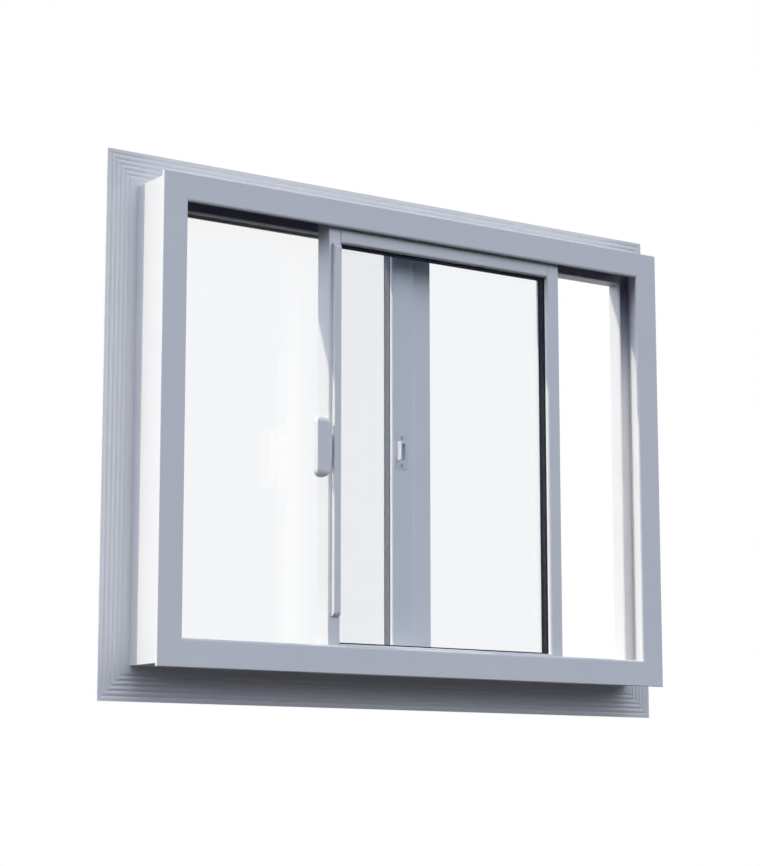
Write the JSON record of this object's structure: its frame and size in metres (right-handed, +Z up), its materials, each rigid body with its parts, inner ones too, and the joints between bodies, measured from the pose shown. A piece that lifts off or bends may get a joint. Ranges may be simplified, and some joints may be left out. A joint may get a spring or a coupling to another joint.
{
  "type": "horizontal sliding window",
  "caption": "White vinyl sliding window: a fixed lite beside a sliding sash with pull rail and sprung latch, insulating glass, and a grooved nail fin all round.",
  "frame": {"origin": "on the plain land of the sill's nail fin, midway along it, on the fin's wall face", "axes": "+X to the right seen from the room, +Y from the room towards the outside, +Z up"},
  "size_m": [0.8618, 0.077, 0.6768],
  "materials": {
    "vinyl": "satin extruded white vinyl",
    "glass": "clear float glass",
    "spacer": "dark warm-edge spacer with sealant",
    "seal": "pale soft vinyl glazing seal",
    "latch_plastic": "moulded white plastic",
    "steel": "zinc-plated steel",
    "nylon": "natural nylon"
  },
  "bodies": {
    "frame": {"frame_head": "vinyl", "frame_sill": "vinyl", "frame_left_jamb": "vinyl", "frame_right_jamb": "vinyl", "right_jamb_cover": "vinyl", "head_cover": "vinyl", "nail_fin_head": "vinyl", "nail_fin_sill": "vinyl", "nail_fin_left": "vinyl", "nail_fin_right": "vinyl", "fixed_meeting_stile": "vinyl", "fixed_bead_head": "vinyl", "fixed_bead_sill": "vinyl", "fixed_bead_left": "vinyl", "fixed_glass_inner": "glass", "fixed_glass_outer": "glass", "fixed_spacer": "spacer", "fixed_seal": "seal", "keeper": "latch_plastic", "keeper_screws": "steel"},
    "sash": {"sash_meeting_stile": "vinyl", "sash_right_stile": "vinyl", "sash_top_rail": "vinyl", "sash_bottom_rail": "vinyl", "sash_bead_left": "vinyl", "sash_bead_right": "vinyl", "sash_bead_top": "vinyl", "sash_bead_bottom": "vinyl", "sash_glass_inner": "glass", "sash_glass_outer": "glass", "sash_spacer": "spacer", "sash_glides": "nylon", "latch_housing": "latch_plastic", "latch_pin": "steel"},
    "latch": {"latch_lever": "latch_plastic"}
  },
  "joints": [
    {"name": "sash_slide", "type": "slide", "parent": "frame", "child": "sash", "axis": [1, 0, 0], "range_m": [-0.183, 0.152]},
    {"name": "latch_pivot", "type": "hinge", "parent": "sash", "child": "latch", "pos_m": [-0.151, -0.0603, 0.28315], "axis": [0, 0, 1], "range_deg": [0, 12], "stiffness_Nm_per_rad": 0.2}
  ]
}
